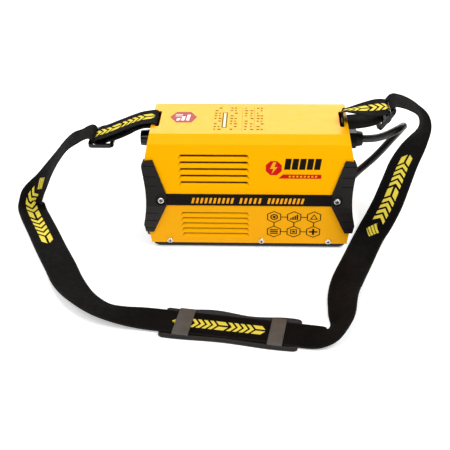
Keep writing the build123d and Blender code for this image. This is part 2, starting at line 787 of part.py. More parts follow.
with BuildPart() as fan_rotor:
    with BuildSketch(fan_plane.offset(5)):
        Circle(16)
    extrude(amount=17)
    fillet(fan_rotor.edges().group_by(Axis.X)[-1], 1.5)
    with BuildSketch(fan_plane.offset(0.5)):
        Circle(1.5)
    extrude(amount=6)
    with Locations(fan_plane.offset(13.5).location):
        with PolarLocations(25.8, 7):
            with Locations(Location((0, 0, 0), (38, 0, 0))):
                Box(21.0, 20, 1.5)
    with BuildSketch(fan_plane.offset(4)):
        Circle(60)
        Circle(36.5, mode=Mode.SUBTRACT)
    extrude(amount=20, mode=Mode.SUBTRACT)
write(fan_rotor, "fan_rotor")

fan_screw = pan_head_screw(4.0, 2.4, 2.0, 16.0)
with BuildPart() as fan_screws:
    for y in (-FAN_HOLE, FAN_HOLE):
        for z in (FAN_Z - FAN_HOLE, FAN_Z + FAN_HOLE):
            seat = Plane((PLATE_OUT_X + 0.02, y, z), x_dir=(0, 1, 0), z_dir=(1, 0, 0))
            with Locations(seat.location):
                add(fan_screw)
write(fan_screws, "fan_screws")

# Power switch: hollow body with a rocker on two stub pins, standing at off.
switch_face = Plane.YZ.offset(PLATE_OUT_X + 0.02)
with BuildPart() as power_switch_body:
    with BuildSketch(switch_face):
        with Locations((SWITCH_Y, SWITCH_Z)):
            RectangleRounded(26, 32, 2)
    extrude(amount=2.0)
    fillet(power_switch_body.edges().group_by(Axis.X)[-1], 0.6)
    with BuildSketch(switch_face):
        with Locations((SWITCH_Y, SWITCH_Z)):
            Rectangle(21.6, 28)
    extrude(amount=-21)
    with BuildSketch(switch_face.offset(3)):
        with Locations((SWITCH_Y, SWITCH_Z)):
            Rectangle(18, 26.4)
    extrude(amount=-14, mode=Mode.SUBTRACT)
    with Locations(Location((SWITCH_PIVOT_X, SWITCH_Y, SWITCH_Z), (90, 0, 0))):
        Cylinder(1.56, 21, mode=Mode.SUBTRACT)
write(power_switch_body, "power_switch_body")

with BuildPart() as power_switch_rocker:
    with BuildSketch(
        Plane(
            (SWITCH_PIVOT_X, SWITCH_Y, SWITCH_Z),
            x_dir=(cos(radians(ROCKER_TILT)), 0, sin(radians(ROCKER_TILT))),
            z_dir=(0, -1, 0),
        )
    ):
        with BuildLine():
            Polyline(
                (5.6, 11.4),
                (4.4, 0),
                (5.6, -11.4),
                (-0.5, -11.4),
                (-5.0, -5),
                (-5.0, 5),
                (-0.5, 11.4),
                close=True,
            )
        make_face()
    extrude(amount=8.8, both=True)
    with Locations(Location((SWITCH_PIVOT_X, SWITCH_Y, SWITCH_Z), (90, 0, 0))):
        Cylinder(1.5, 20.6)
write(power_switch_rocker, "power_switch_rocker")

# Cable gland.
gland = Plane((0, GLAND_Y, GLAND_Z), x_dir=(0, 1, 0), z_dir=(1, 0, 0))
CABLE_R = 5.0
with BuildPart() as cable_gland_body:
    with BuildSketch(gland.offset(111)):
        Circle(10)
    extrude(amount=12)
    with BuildSketch(gland.offset(PLATE_OUT_X + 0.02)):
        RegularPolygon(12, 6, major_radius=False)
    extrude(amount=5)
    with BuildSketch(gland.offset(PLATE_OUT_X + 4)):
        Circle(8.6)
    extrude(amount=9)
    with BuildSketch(gland.offset(100)):
        Circle(CABLE_R + 0.1)
    extrude(amount=60, mode=Mode.SUBTRACT)
write(cable_gland_body, "cable_gland_body")

with BuildPart() as cable_gland_nut:
    with BuildSketch(gland.offset(126.4)):
        RegularPolygon(11, 6, major_radius=False)
    extrude(amount=10)
    with BuildSketch(gland.offset(136.4)):
        Circle(10.6)
    extrude(amount=8.6, taper=12)
    fillet(cable_gland_nut.edges().group_by(Axis.X)[-1], 2.0)
    with BuildSketch(gland.offset(126)):
        Circle(8.66)
    extrude(amount=9, mode=Mode.SUBTRACT)
    with BuildSketch(gland.offset(126)):
        Circle(CABLE_R + 0.1)
    extrude(amount=30, mode=Mode.SUBTRACT)
write(cable_gland_nut, "cable_gland_nut")

with BuildPart() as gland_locknut:
    with BuildSketch(gland.offset(112.6)):
        RegularPolygon(13, 6, major_radius=False)
        Circle(10.06, mode=Mode.SUBTRACT)
    extrude(amount=5.3)
write(gland_locknut, "gland_locknut")

# Mains cable, looped behind the casing to its plug.
PLUG_X = -72.0
PLUG_Y = 135.0
PLUG_Z = 19.2
with BuildPart() as power_cable:
    with BuildLine() as route:
        Line((100, GLAND_Y, GLAND_Z), (148, GLAND_Y, GLAND_Z))
        Spline(
            (148, GLAND_Y, GLAND_Z),
            (167, 18.5, 132),
            (184, 22, 138),
            (196, 30, 141),
            (199, 41, 136),
            (194, 51, 122),
            (184, 57, 104),
            (167, 61, 79),
            (145, 66, 52),
            (134, 80, 28),
            (124, 103, 11),
            (104, 122, 5.3),
            (60, 142, 5.3),
            (0, 146, 5.3),
            (-36, 140, 8),
            (-54, 136.5, 15),
            (PLUG_X + 3, PLUG_Y, PLUG_Z),
            tangents=[(1, 0, 0), (-1, 0, 0)],
        )
        Line((PLUG_X + 3, PLUG_Y, PLUG_Z), (PLUG_X - 8, PLUG_Y, PLUG_Z))
    with BuildSketch(Plane(route.line @ 0, z_dir=route.line % 0)):
        Circle(CABLE_R)
    sweep()
write(power_cable, "power_cable")

plug = Plane((PLUG_X, PLUG_Y, PLUG_Z), x_dir=(0, 0, 1), z_dir=(-1, 0, 0))
with BuildPart() as plug_body:
    with BuildSketch(plug):
        Circle(8)
    with BuildSketch(plug.offset(14)):
        Circle(11)
    with BuildSketch(plug.offset(26)):
        Circle(18.8)
    with BuildSketch(plug.offset(38)):
        Circle(18.8)
    loft(ruled=True)
    fillet(plug_body.edges().filter_by(GeomType.CIRCLE).group_by(Axis.X)[-1], 1.5)
    with BuildSketch(plug):
        Circle(CABLE_R + 0.1)
    extrude(amount=9.0, mode=Mode.SUBTRACT)
    with BuildSketch(plug.offset(38)):
        with Locations((0, -9.5), (0, 9.5)):
            Circle(2.42)
    extrude(amount=-10, mode=Mode.SUBTRACT)
write(plug_body, "plug_body")

with BuildPart() as plug_pins:
    with BuildSketch(plug.offset(28.1)):
        with Locations((0, -9.5), (0, 9.5)):
            Circle(2.4)
    extrude(amount=29)
    fillet(plug_pins.edges().group_by(Axis.X)[0], 1.6)
write(plug_pins, "plug_pins")


# Strap ends: each a closed band of webbing through a cover slot and round a slider's middle bar.
def webbing_band(points):
    with BuildPart() as band:
        with BuildSketch(Plane.XZ):
            with BuildLine():
                FilletPolyline(*points, radius=1.5, close=True)
            make_face()
            offset(amount=WEB_T / 2)
            offset(amount=-WEB_T, mode=Mode.SUBTRACT)
        extrude(amount=WEB_W / 2, both=True)
    return band


left_strap_loop = webbing_band(
    [
        (-114.6, 162.6),
        (-114.6, 168.0),
        (-136, 167.2),
        (-148, 162.6),
        (-170, 153.0),
        (-194, 143.4),
        (-194, 135.0),
        (-180, 135.0),
        (-178.6, 141.8),
        (-171, 144.4),
        (-158, 150.2),
        (-141, 160.0),
        (-124, 163.0),
    ]
)
write(left_strap_loop, "left_strap_loop")

right_strap_loop = webbing_band(
    [
        (114.6, 162.6),
        (114.6, 168.0),
        (121, 169.4),
        (135, 176.6),
        (147, 182.2),
        (158, 185.6),
        (166, 184.4),
        (174.8, 178.2),
        (166.6, 166.6),
        (161.8, 170.4),
        (155.4, 168.6),
        (146, 166.4),
        (124, 163.0),
    ]
)
write(right_strap_loop, "right_strap_loop")

# Sliders: three-bar plates the webbing threads through.
SLIDER_T = 4.6
slider_seats = (
    ("left_slider", Plane((-187, 0, 139), x_dir=(1, 0, 0), z_dir=(0, 0, 1))),
    (
        "right_slider",
        Plane(
            (168, 0, 175.4),
            x_dir=(cos(radians(55)), 0, sin(radians(55))),
            z_dir=(-sin(radians(55)), 0, cos(radians(55))),
        ),
    ),
)
for name, seat in slider_seats:
    with BuildPart() as slider:
        with BuildSketch(seat):
            RectangleRounded(32, 50, 6)
            with Locations((-6.9, 0), (6.9, 0)):
                Rectangle(9.3, 41.4, mode=Mode.SUBTRACT)
        extrude(amount=SLIDER_T / 2, both=True)
    write(slider, name)

# Main webbing: a ruled band through its stations.
with BuildPart() as strap_webbing:
    middles = [Vector(x, y, z) for x, y, z, turn, bank in STRAP_RUN]
    for i, (x, y, z, turn, bank) in enumerate(STRAP_RUN):
        width_way = Vector(
            cos(radians(bank)) * cos(radians(turn)),
            cos(radians(bank)) * sin(radians(turn)),
            sin(radians(bank)),
        )
        ahead = middles[min(i + 1, len(middles) - 1)] - middles[max(i - 1, 0)]
        ahead = ahead - width_way * ahead.dot(width_way)
        with BuildSketch(Plane(middles[i], x_dir=width_way, z_dir=ahead)):
            Rectangle(WEB_W, WEB_T)
    loft(ruled=True)
write(strap_webbing, "strap_webbing")

# Shoulder pad: a moulded base with two bridges over the webbing.
pad_plane = Plane.XY.rotated((0, 0, PAD_TURN))
pad_plane.origin = (PAD_CENTRE[0], PAD_CENTRE[1], 0.2)
with BuildPart() as shoulder_pad:
    with BuildSketch(pad_plane):
        with BuildLine():
            half = PAD_LENGTH / 2
            wide = PAD_WIDTH / 2
            ThreePointArc((-half, wide - 4), (0, wide), (half, wide - 4))
            Line((half, wide - 4), (half, 4 - wide))
            ThreePointArc((half, 4 - wide), (0, -wide), (-half, 4 - wide))
            Line((-half, 4 - wide), (-half, wide - 4))
        make_face()
    extrude(amount=3.0)
    for x in (-54, 54):
        with BuildSketch(pad_plane.offset(2.5)):
            with Locations((x, 0)):
                Rectangle(17, 51)
        extrude(amount=4.6)
    with BuildSketch(pad_plane.offset(3.0)):
        Rectangle(200, WEB_W + 0.8)
    extrude(amount=2.4, mode=Mode.SUBTRACT)
write(shoulder_pad, "shoulder_pad")
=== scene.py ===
import math

import bpy
import numpy as np
from mathutils import Matrix, Vector
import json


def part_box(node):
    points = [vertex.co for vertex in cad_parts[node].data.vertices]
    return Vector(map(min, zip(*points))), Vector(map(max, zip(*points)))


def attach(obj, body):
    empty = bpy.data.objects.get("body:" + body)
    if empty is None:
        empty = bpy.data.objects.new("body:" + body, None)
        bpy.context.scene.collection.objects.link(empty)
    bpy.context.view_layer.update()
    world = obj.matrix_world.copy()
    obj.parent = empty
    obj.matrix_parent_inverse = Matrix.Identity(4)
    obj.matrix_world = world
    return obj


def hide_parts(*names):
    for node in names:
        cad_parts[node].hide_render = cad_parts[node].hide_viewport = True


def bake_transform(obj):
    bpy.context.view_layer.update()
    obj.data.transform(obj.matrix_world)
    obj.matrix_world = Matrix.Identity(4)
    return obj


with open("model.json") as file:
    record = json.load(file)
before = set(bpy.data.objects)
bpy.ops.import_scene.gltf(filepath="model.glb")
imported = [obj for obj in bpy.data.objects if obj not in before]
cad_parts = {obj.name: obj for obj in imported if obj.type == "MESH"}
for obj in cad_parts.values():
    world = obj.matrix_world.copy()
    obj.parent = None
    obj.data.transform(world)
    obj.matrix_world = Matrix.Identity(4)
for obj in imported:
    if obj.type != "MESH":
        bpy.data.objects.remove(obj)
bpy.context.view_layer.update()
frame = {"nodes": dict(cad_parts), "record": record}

MM = 0.001
NODES = frame["nodes"]

# ---------------------------------------------------------------- materials
# Where the Mix node keeps its two colours, and its mixed colour.
MIX_A = 6
MIX_B = 7
MIX_RESULT = 2


class Shader:
    """A Principled material with short helpers for its node tree."""

    def __init__(self, name, color, roughness=0.5, metallic=0.0):
        self.material = bpy.data.materials.new(name)
        self.material.use_nodes = True
        self.tree = self.material.node_tree
        self.bsdf = self.tree.nodes["Principled BSDF"]
        self.bsdf.inputs["Base Color"].default_value = (*color, 1)
        self.bsdf.inputs["Roughness"].default_value = roughness
        self.bsdf.inputs["Metallic"].default_value = metallic
        self.color = (*color, 1)
        self.roughness = roughness
        self._position = None

    def put(self, socket, value):
        """Links or sets a socket."""
        if isinstance(value, bpy.types.NodeSocket):
            self.tree.links.new(value, socket)
        else:
            socket.default_value = value

    def node(self, kind, output, vector=None):
        """The named output of a new node."""
        made = self.tree.nodes.new(kind)
        if vector is not None:
            self.put(made.inputs["Vector"], vector)
        return made.outputs[output]

    def math(self, operation, a, b=0.0):
        made = self.tree.nodes.new("ShaderNodeMath")
        made.operation = operation
        for slot, value in zip(made.inputs, (a, b)):
            self.put(slot, value)
        return made.outputs[0]

    def position(self):
        """Place on the piece, in metres."""
        if self._position is None:
            self._position = self.node("ShaderNodeTexCoord", "Object")
        return self._position

    def noise(self, scale, detail, vector=None):
        made = self.tree.nodes.new("ShaderNodeTexNoise")
        self.put(made.inputs["Vector"], vector or self.position())
        made.inputs["Scale"].default_value = scale
        made.inputs["Detail"].default_value = detail
        return made.outputs[0]

    def mix(self, factor, a, b):
        """Colour a where factor is 0, and colour b where it is 1."""
        made = self.tree.nodes.new("ShaderNodeMix")
        made.data_type = "RGBA"
        self.put(made.inputs[0], factor)
        self.put(made.inputs[MIX_A], a)
        self.put(made.inputs[MIX_B], b)
        return made.outputs[MIX_RESULT]

    def remap(self, value, low, high, to_low, to_high):
        """Value moved from the range low to high into the range to_low to to_high, and kept in it."""
        made = self.tree.nodes.new("ShaderNodeMapRange")
        for slot, v in zip(made.inputs, (value, low, high, to_low, to_high)):
            self.put(slot, v)
        return made.outputs[0]

    def paint_crevice_shade(self, color, distance, dark):
        """Paints shade into the piece's own corners and recesses: a darker colour where ambient occlusion
        finds surfaces close.
        """
        made = self.tree.nodes.new("ShaderNodeAmbientOcclusion")
        made.samples = 6
        made.only_local = True
        made.inputs["Distance"].default_value = distance
        shade = self.remap(made.outputs["AO"], 0.5, 0.94, 0.0, 1.0)
        self.put(self.bsdf.inputs["Base Color"], self.mix(shade, dark, color))

    def vary_color(self, scale, amount, base=None):
        """Darkens the material's colour, or the socket base, in soft patches."""
        patches = self.remap(self.noise(scale, 4.0), 0.35, 0.65, 0.0, 1.0)
        if base is None:
            dark = tuple(c * (1 - amount) for c in self.color[:3]) + (1,)
            color = self.mix(patches, dark, self.color)
        else:
            color = self.mix(self.math("MULTIPLY", patches, amount), base, (0, 0, 0, 1))
        self.put(self.bsdf.inputs["Base Color"], color)
        return color

    def vary_roughness(self, scale, amount):
        """Raises and lowers the roughness by up to amount."""
        spread = self.remap(
            self.noise(scale, 5.0), 0.3, 0.7,
            max(0.02, self.roughness - amount), min(1.0, self.roughness + amount),
        )
        self.put(self.bsdf.inputs["Roughness"], spread)

    def bump(self, height, strength, distance, edge=0.0):
        """Bump from height, over normals rounded at the edges by edge metres."""
        made = self.tree.nodes.new("ShaderNodeBump")
        made.inputs["Strength"].default_value = strength
        made.inputs["Distance"].default_value = distance
        self.put(made.inputs["Height"], height)
        if edge:
            rounded = self.tree.nodes.new("ShaderNodeBevel")
            rounded.samples = 4
            rounded.inputs["Radius"].default_value = edge
            self.put(made.inputs["Normal"], rounded.outputs[0])
        self.put(self.bsdf.inputs["Normal"], made.outputs[0])


def plain(name, color, roughness, grain=900.0, depth=0.00005, strength=0.4,
          shade=0.15, spread=0.08, edge=0.0004, coat=0.0, shine=0.22, crevice_shade_reach=0.0):
    """A moulded, cast or coated surface: fine grain, soft patches and worn roughness, and, when given a
    reach for it, painted shade in its own corners and recesses.
    """
    s = Shader(name, color, roughness)
    shaded = s.vary_color(60.0, shade)
    # Painted shade in the piece's own corners and recesses.
    if crevice_shade_reach:
        s.paint_crevice_shade(shaded, crevice_shade_reach, (0.0008, 0.0007, 0.0007, 1))
    s.vary_roughness(240.0, spread)
    s.bump(s.noise(grain, 3.0), strength, depth, edge)
    s.bsdf.inputs["Specular IOR Level"].default_value = shine
    if coat:
        s.bsdf.inputs["Coat Weight"].default_value = coat
        s.bsdf.inputs["Coat Roughness"].default_value = 0.2
    return s.material


def brushed(name, color, roughness, stretch):
    """Metal with fine lines, across the axes that stretch makes larger, and painted shade in its own
    recesses.
    """
    s = Shader(name, color, roughness, 1.0)
    scaled = s.tree.nodes.new("ShaderNodeMapping")
    s.put(scaled.inputs["Vector"], s.position())
    scaled.inputs["Scale"].default_value = stretch
    lines = s.noise(60.0, 6.0, scaled.outputs[0])
    s.put(s.bsdf.inputs["Roughness"], s.remap(lines, 0.3, 0.7, roughness * 0.6, roughness * 1.5))
    color = s.vary_color(90.0, 0.12)
    # Painted shade in the piece's own recesses, such as screw slots.
    s.paint_crevice_shade(color, 0.0035, (0.02, 0.018, 0.016, 1))
    s.bump(lines, 0.25, 0.00003, 0.0003)
    return s.material


def powder_coat():
    """Yellow powder coat: orange peel, a colour a little darker in soft patches near the floor, painted
    brown shade in its own corners and recesses, and a thin clear sheen.
    """
    s = Shader("yellow_powder_coat", (1.0, 0.450, 0.0), 0.42)
    # Darker in soft patches near the floor.
    height = s.node("ShaderNodeSeparateXYZ", "Z", s.position())
    low = s.remap(height, 0.008, 0.05, 0.10, 0.0)
    soft = s.math("MULTIPLY", low, s.noise(45.0, 5.0))
    darker_low = s.mix(soft, s.color, (0.50, 0.24, 0.02, 1))
    color = s.vary_color(14.0, 0.02, darker_low)
    # Painted brown shade in the piece's own corners and recesses.
    s.paint_crevice_shade(color, 0.0048, (0.20, 0.060, 0.0, 1))
    s.vary_roughness(120.0, 0.06)
    peel = s.math("ADD", s.noise(420.0, 2.0), s.math("MULTIPLY", s.noise(1500.0, 1.0), 0.35))
    s.bump(peel, 0.16, 0.00006, 0.0006)
    s.bsdf.inputs["Specular IOR Level"].default_value = 0.30
    s.bsdf.inputs["Specular Tint"].default_value = (1.0, 0.62, 0.0, 1)
    return s.material


def coords(s):
    """Metres across and along a ribbon, from its UV map."""
    made = s.tree.nodes.new("ShaderNodeUVMap")
    made.uv_map = "ribbon"
    return (
        s.node("ShaderNodeSeparateXYZ", "X", made.outputs["UV"]),
        s.node("ShaderNodeSeparateXYZ", "Y", made.outputs["UV"]),
    )


# The webbing's yellow figure, in millimetres: a lozenge cut by slanting slits, then a row of cells
# that hold two chevrons each, or a pair of bars in every third one.
FIGURE_HALF = 7.7
LOZENGE = 22.0
LOZENGE_SLOPE = 1.25
SLIT_PITCH = 5.6
SLIT = 1.5
ROW_START = 29.0
ROW_LENGTH = 90.0
CELL = 15.0
CHEVRON_PITCH = CELL / 2
CHEVRON = 4.6
CHEVRON_SLOPE = 0.75
BAR = 11.6
BAR_INNER = 1.5
CELLS_PER_BAR = 3.0
# Number of the first cell, which is not barred. It and FAR_BACK are added before a remainder is
# taken, so that inside a figure it is never of a negative number.
FIRST_CELL = 31.0
FAR_BACK = 400.0


def woven_figure(s, along, across, start, stretch):
    """Mask of one yellow figure that begins at start."""
    u = s.math("MULTIPLY", s.math("SUBTRACT", along, start * MM), 1 / (MM * stretch))
    v = s.math("MULTIPLY", across, 1 / MM)
    height = s.math("ABSOLUTE", v)
    inside = s.math("LESS_THAN", height, FIGURE_HALF)
    # Lozenge, cut by slanting slits.
    away = s.math("ABSOLUTE", s.math("SUBTRACT", u, LOZENGE / 2))
    reach = s.math("ADD", away, s.math("MULTIPLY", height, LOZENGE_SLOPE))
    lozenge = s.math("LESS_THAN", reach, LOZENGE / 2)
    slant = s.math("ADD", s.math("ADD", u, v), FAR_BACK)
    thread = s.math("GREATER_THAN", s.math("MODULO", slant, SLIT_PITCH), SLIT)
    emblem = s.math("MULTIPLY", lozenge, thread)
    # Row of cells.
    row = s.math("SUBTRACT", u, ROW_START)
    point = s.math("ADD", row, s.math("MULTIPLY", height, CHEVRON_SLOPE))
    cell = s.math("FLOOR", s.math("MULTIPLY", point, 1 / CELL))
    place = s.math("SUBTRACT", point, s.math("MULTIPLY", cell, CELL))
    turn = s.math("MODULO", s.math("ADD", cell, FIRST_CELL), CELLS_PER_BAR)
    barred = s.math("LESS_THAN", turn, 0.5)
    plain_cell = s.math("SUBTRACT", 1.0, barred)
    chevron = s.math("LESS_THAN", s.math("MODULO", place, CHEVRON_PITCH), CHEVRON)
    split = s.math("GREATER_THAN", height, BAR_INNER)
    bars = s.math("MULTIPLY", s.math("LESS_THAN", place, BAR), split)
    mark = s.math("ADD", s.math("MULTIPLY", barred, bars), s.math("MULTIPLY", plain_cell, chevron))
    begun = s.math("GREATER_THAN", point, 0.0)
    ended = s.math("LESS_THAN", point, ROW_LENGTH)
    span = s.math("MULTIPLY", begun, ended)
    cells = s.math("MULTIPLY", s.math("MULTIPLY", mark, span), inside)
    return s.math("MAXIMUM", emblem, cells)


# Spacing of the webbing's ribs and picks, and how far from its middle its firmer edge begins and is
# complete, in millimetres.
RIB = 1.55
PICK = 1.05
SELVEDGE_FROM = 17.4
SELVEDGE_FULL = 18.2


def webbing(name, starts=()):
    """Ribbed black webbing. Starts: where each yellow figure begins, in mm, and its stretch."""
    s = Shader(name, (0.007, 0.006, 0.0056), 0.78)
    across, along = coords(s)
    rib = s.math("SINE", s.math("MULTIPLY", across, math.tau / (RIB * MM)))
    pick = s.math("SINE", s.math("MULTIPLY", along, math.tau / (PICK * MM)))
    weave = s.math("ADD", s.math("MULTIPLY", s.math("MULTIPLY", rib, pick), 0.5),
                   s.math("MULTIPLY", rib, 0.35))
    fuzz = s.noise(2600.0, 2.0)
    height = s.math("ADD", weave, s.math("MULTIPLY", fuzz, 0.6))
    worn = s.remap(s.noise(38.0, 4.0), 0.35, 0.7, 0.0, 1.0)
    thread_dark = s.mix(worn, (0.0022, 0.0018, 0.0017, 1), (0.0035, 0.0029, 0.0027, 1))
    thread_pale = s.mix(worn, (0.0056, 0.0046, 0.0043, 1), (0.0085, 0.0070, 0.0065, 1))
    color = s.mix(s.remap(weave, -0.6, 0.6, 0.0, 1.0), thread_dark, thread_pale)
    off_middle = s.math("ABSOLUTE", across)
    selvedge = s.remap(off_middle, SELVEDGE_FROM * MM, SELVEDGE_FULL * MM, 0.0, 0.6)
    color = s.mix(selvedge, color, (0.016, 0.014, 0.0135, 1))
    figure = None
    for start, stretch in starts:
        mask = woven_figure(s, along, across, start, stretch)
        figure = mask if figure is None else s.math("MAXIMUM", figure, mask)
    if figure is not None:
        thread = s.remap(s.math("ADD", pick, s.noise(1800.0, 1.0)), -0.8, 1.4, 0.0, 1.0)
        yellow = s.mix(thread, (0.62, 0.43, 0.02, 1), (1.0, 0.86, 0.12, 1))
        color = s.mix(figure, color, yellow)
        height = s.math("ADD", height, s.math("MULTIPLY", figure, 0.8))
    s.put(s.bsdf.inputs["Base Color"], color)
    s.vary_roughness(160.0, 0.08)
    s.bump(height, 0.55, 0.00022)
    s.bsdf.inputs["Specular IOR Level"].default_value = 0.05
    s.bsdf.inputs["Sheen Weight"].default_value = 0.006
    s.bsdf.inputs["Sheen Roughness"].default_value = 0.4
    return s.material


def circuit_board():
    """Green solder mask with paler tracks."""
    s = Shader("circuit_board", (0.012, 0.09, 0.035), 0.35)
    tracks = s.tree.nodes.new("ShaderNodeTexBrick")
    tracks.inputs["Scale"].default_value = 70.0
    tracks.inputs["Mortar Size"].default_value = 0.04
    s.put(tracks.inputs["Vector"], s.position())
    between = tracks.outputs["Fac"]
    s.put(s.bsdf.inputs["Base Color"], s.mix(between, (0.02, 0.16, 0.06, 1), s.color))
    s.bump(between, 0.3, 0.00005)
    return s.material


def wound_copper():
    """Enamelled wire, one turn beside the next."""
    s = Shader("enamelled_copper", (0.62, 0.22, 0.09), 0.3, 0.9)
    turns = s.tree.nodes.new("ShaderNodeTexWave")
    turns.inputs["Scale"].default_value = 160.0
    turns.bands_direction = "Z"
    s.put(turns.inputs["Vector"], s.position())
    s.vary_color(90.0, 0.2)
    s.bump(turns.outputs["Fac"], 0.8, 0.0004)
    return s.material


def ink(name, color, roughness=0.45, shine=0.10):
    """Flat print."""
    s = Shader(name, color, roughness)
    s.vary_color(300.0, 0.06)
    s.vary_roughness(500.0, 0.06)
    s.bump(s.noise(900.0, 2.0), 0.1, 0.00002)
    s.bsdf.inputs["Specular IOR Level"].default_value = shine
    return s.material


LOOKS = {
    "yellow_paint": powder_coat(),
    "black_paint": plain("black_powder_coat", (0.006, 0.0055, 0.0055), 0.5, grain=1500, strength=0.5),
    # Moulded black: painted shade in its own corners and recesses.
    "black_plastic": plain("moulded_black", (0.0088, 0.0068, 0.0062), 0.42, grain=2200,
                           depth=0.00006, strength=0.45, shade=0.12, edge=0.0005, crevice_shade_reach=0.004),
    "gloss_black": plain("polished_black", (0.004, 0.0036, 0.0036), 0.2, grain=500,
                         strength=0.08, spread=0.05, edge=0.0006, shine=0.4),
    "band_film": plain("printed_film", (0.0040, 0.0026, 0.0024), 0.42, grain=700, strength=0.1, shine=0.12),
    "zinc_steel": brushed("bright_zinc", (0.86, 0.84, 0.80), 0.26, (1, 1, 6)),
    "brass": brushed("turned_brass", (0.80, 0.56, 0.20), 0.28, (8, 1, 1)),
    "copper": wound_copper(),
    "aluminium": brushed("extruded_aluminium", (0.72, 0.73, 0.74), 0.34, (1, 20, 20)),
    "board_green": circuit_board(),
    "phenolic": plain("phenolic_board", (0.42, 0.17, 0.02), 0.9, grain=1200, shine=0.0),
    "ferrite": plain("ferrite", (0.035, 0.035, 0.038), 0.6, grain=1800),
    "sleeve": plain("shrink_sleeve", (0.012, 0.018, 0.045), 0.3, grain=300, strength=0.1, shine=0.5),
    "epoxy": plain("device_epoxy", (0.012, 0.012, 0.012), 0.55, grain=2600),
    "lens": plain("smoked_lens", (0.008, 0.008, 0.010), 0.08, grain=200, strength=0.02, coat=0.5),
    "lamp": plain("lamp_lens", (0.50, 0.015, 0.010), 0.2, grain=300, strength=0.05, coat=0.4),
    "rubber": plain("black_rubber", (0.017, 0.0145, 0.0135), 0.34, grain=1700, strength=0.25, edge=0.0,
                    shine=0.7),
    "pad_rubber": plain("pad_rubber", (0.017, 0.0145, 0.0135), 0.5, grain=1400, strength=0.4, edge=0.0),
    "webbing": webbing("plain_webbing"),
}
slots = {row["node"]: row["material_slot"] for row in frame["record"]["subparts"]}
# The upper board is brown, the others are green.
slots["capacitor_board"] = "phenolic"
for name, node in NODES.items():
    node.data.materials.clear()
    node.data.materials.append(LOOKS[slots[name]])

# ---------------------------------------------------------------- mesh helpers


def mesh_piece(name, verts, faces, look, uvs=None, smooth=True):
    """A mesh object in the scene. Uvs, if given, has one pair for each vertex."""
    mesh = bpy.data.meshes.new(name)
    mesh.from_pydata([tuple(v) for v in verts], [], faces)
    if uvs is not None:
        layer = mesh.uv_layers.new(name="ribbon")
        for loop in mesh.loops:
            layer.data[loop.index].uv = uvs[loop.vertex_index]
    mesh.materials.append(look)
    for polygon in mesh.polygons:
        polygon.use_smooth = smooth
    made = bpy.data.objects.new(name, mesh)
    bpy.context.scene.collection.objects.link(made)
    return made


def tube_faces(n, rings, capped):
    """Faces of a tube through rings of n corners."""
    faces = [
        (r * n + k, r * n + (k + 1) % n, (r + 1) * n + (k + 1) % n, (r + 1) * n + k)
        for r in range(rings - 1)
        for k in range(n)
    ]
    if capped:
        faces.append(tuple(range(n - 1, -1, -1)))
        faces.append(tuple(range((rings - 1) * n, rings * n)))
    return faces


SAMPLES_PER_ROW = 24


def through(points, step, closed=False):
    """Even samples of a smooth curve through rows of numbers, whose first three are a place.

    Gives the length along the curve at each sample, and the samples.
    """
    rows = np.array(points, float)
    if closed:
        rows = np.vstack([rows[-2:], rows, rows[:3]])
    else:
        rows = np.vstack([2 * rows[0] - rows[1], rows, 2 * rows[-1] - rows[-2]])
    out = []
    for a, b, c, d in zip(rows[:-3], rows[1:-2], rows[2:-1], rows[3:]):
        knots = [0.0]
        for p, q in ((a, b), (b, c), (c, d)):
            knots.append(knots[-1] + max(np.linalg.norm(q[:3] - p[:3]), 1e-6) ** 0.5)
        t0, t1, t2, t3 = knots
        for t in np.linspace(t1, t2, SAMPLES_PER_ROW, endpoint=False):
            ab = a * (t1 - t) / (t1 - t0) + b * (t - t0) / (t1 - t0)
            bc = b * (t2 - t) / (t2 - t1) + c * (t - t1) / (t2 - t1)
            cd = c * (t3 - t) / (t3 - t2) + d * (t - t2) / (t3 - t2)
            abc = ab * (t2 - t) / (t2 - t0) + bc * (t - t0) / (t2 - t0)
            bcd = bc * (t3 - t) / (t3 - t1) + cd * (t - t1) / (t3 - t1)
            out.append(abc * (t2 - t) / (t2 - t1) + bcd * (t - t1) / (t2 - t1))
    if not closed:
        out.append(rows[-2])
    out = np.array(out)
    if closed:
        out = out[SAMPLES_PER_ROW:-SAMPLES_PER_ROW]
        out = np.vstack([out, out[:1]])
    run = np.r_[0, np.cumsum(np.linalg.norm(np.diff(out[:, :3], axis=0), axis=1))]
    count = max(4, int(run[-1] / step))
    even = np.linspace(0, run[-1], count + 1)
    return even, np.stack([np.interp(even, run, out[:, k]) for k in range(out.shape[1])], 1)


# The webbing's half width and thickness, how far its face is sunk between the selvedges, and how far
# its underside is set away in the texture, past every figure, all in millimetres.
WEB_HALF = 20.0
WEB_T = 1.5
WEB_SUNK = 0.12
UNDERSIDE = 200.0
# How much of the way from its given width to a width square to its run the webbing turns.
SQUARING = 0.6


def web_profile():
    """Closed section of the webbing: width offset, thickness offset, texture offset across."""
    top = [(-WEB_HALF + 0.15, 0.45), (-WEB_HALF + 0.7, WEB_T / 2)]
    top += [(x, WEB_T / 2 - WEB_SUNK) for x in np.linspace(-SELVEDGE_FROM, SELVEDGE_FROM, 7)]
    top += [(WEB_HALF - 0.7, WEB_T / 2), (WEB_HALF - 0.15, 0.45)]
    under = [(x, -t) for x, t in reversed(top)]
    return [(x, t, x) for x, t in top] + [(x, t, UNDERSIDE - x) for x, t in under]


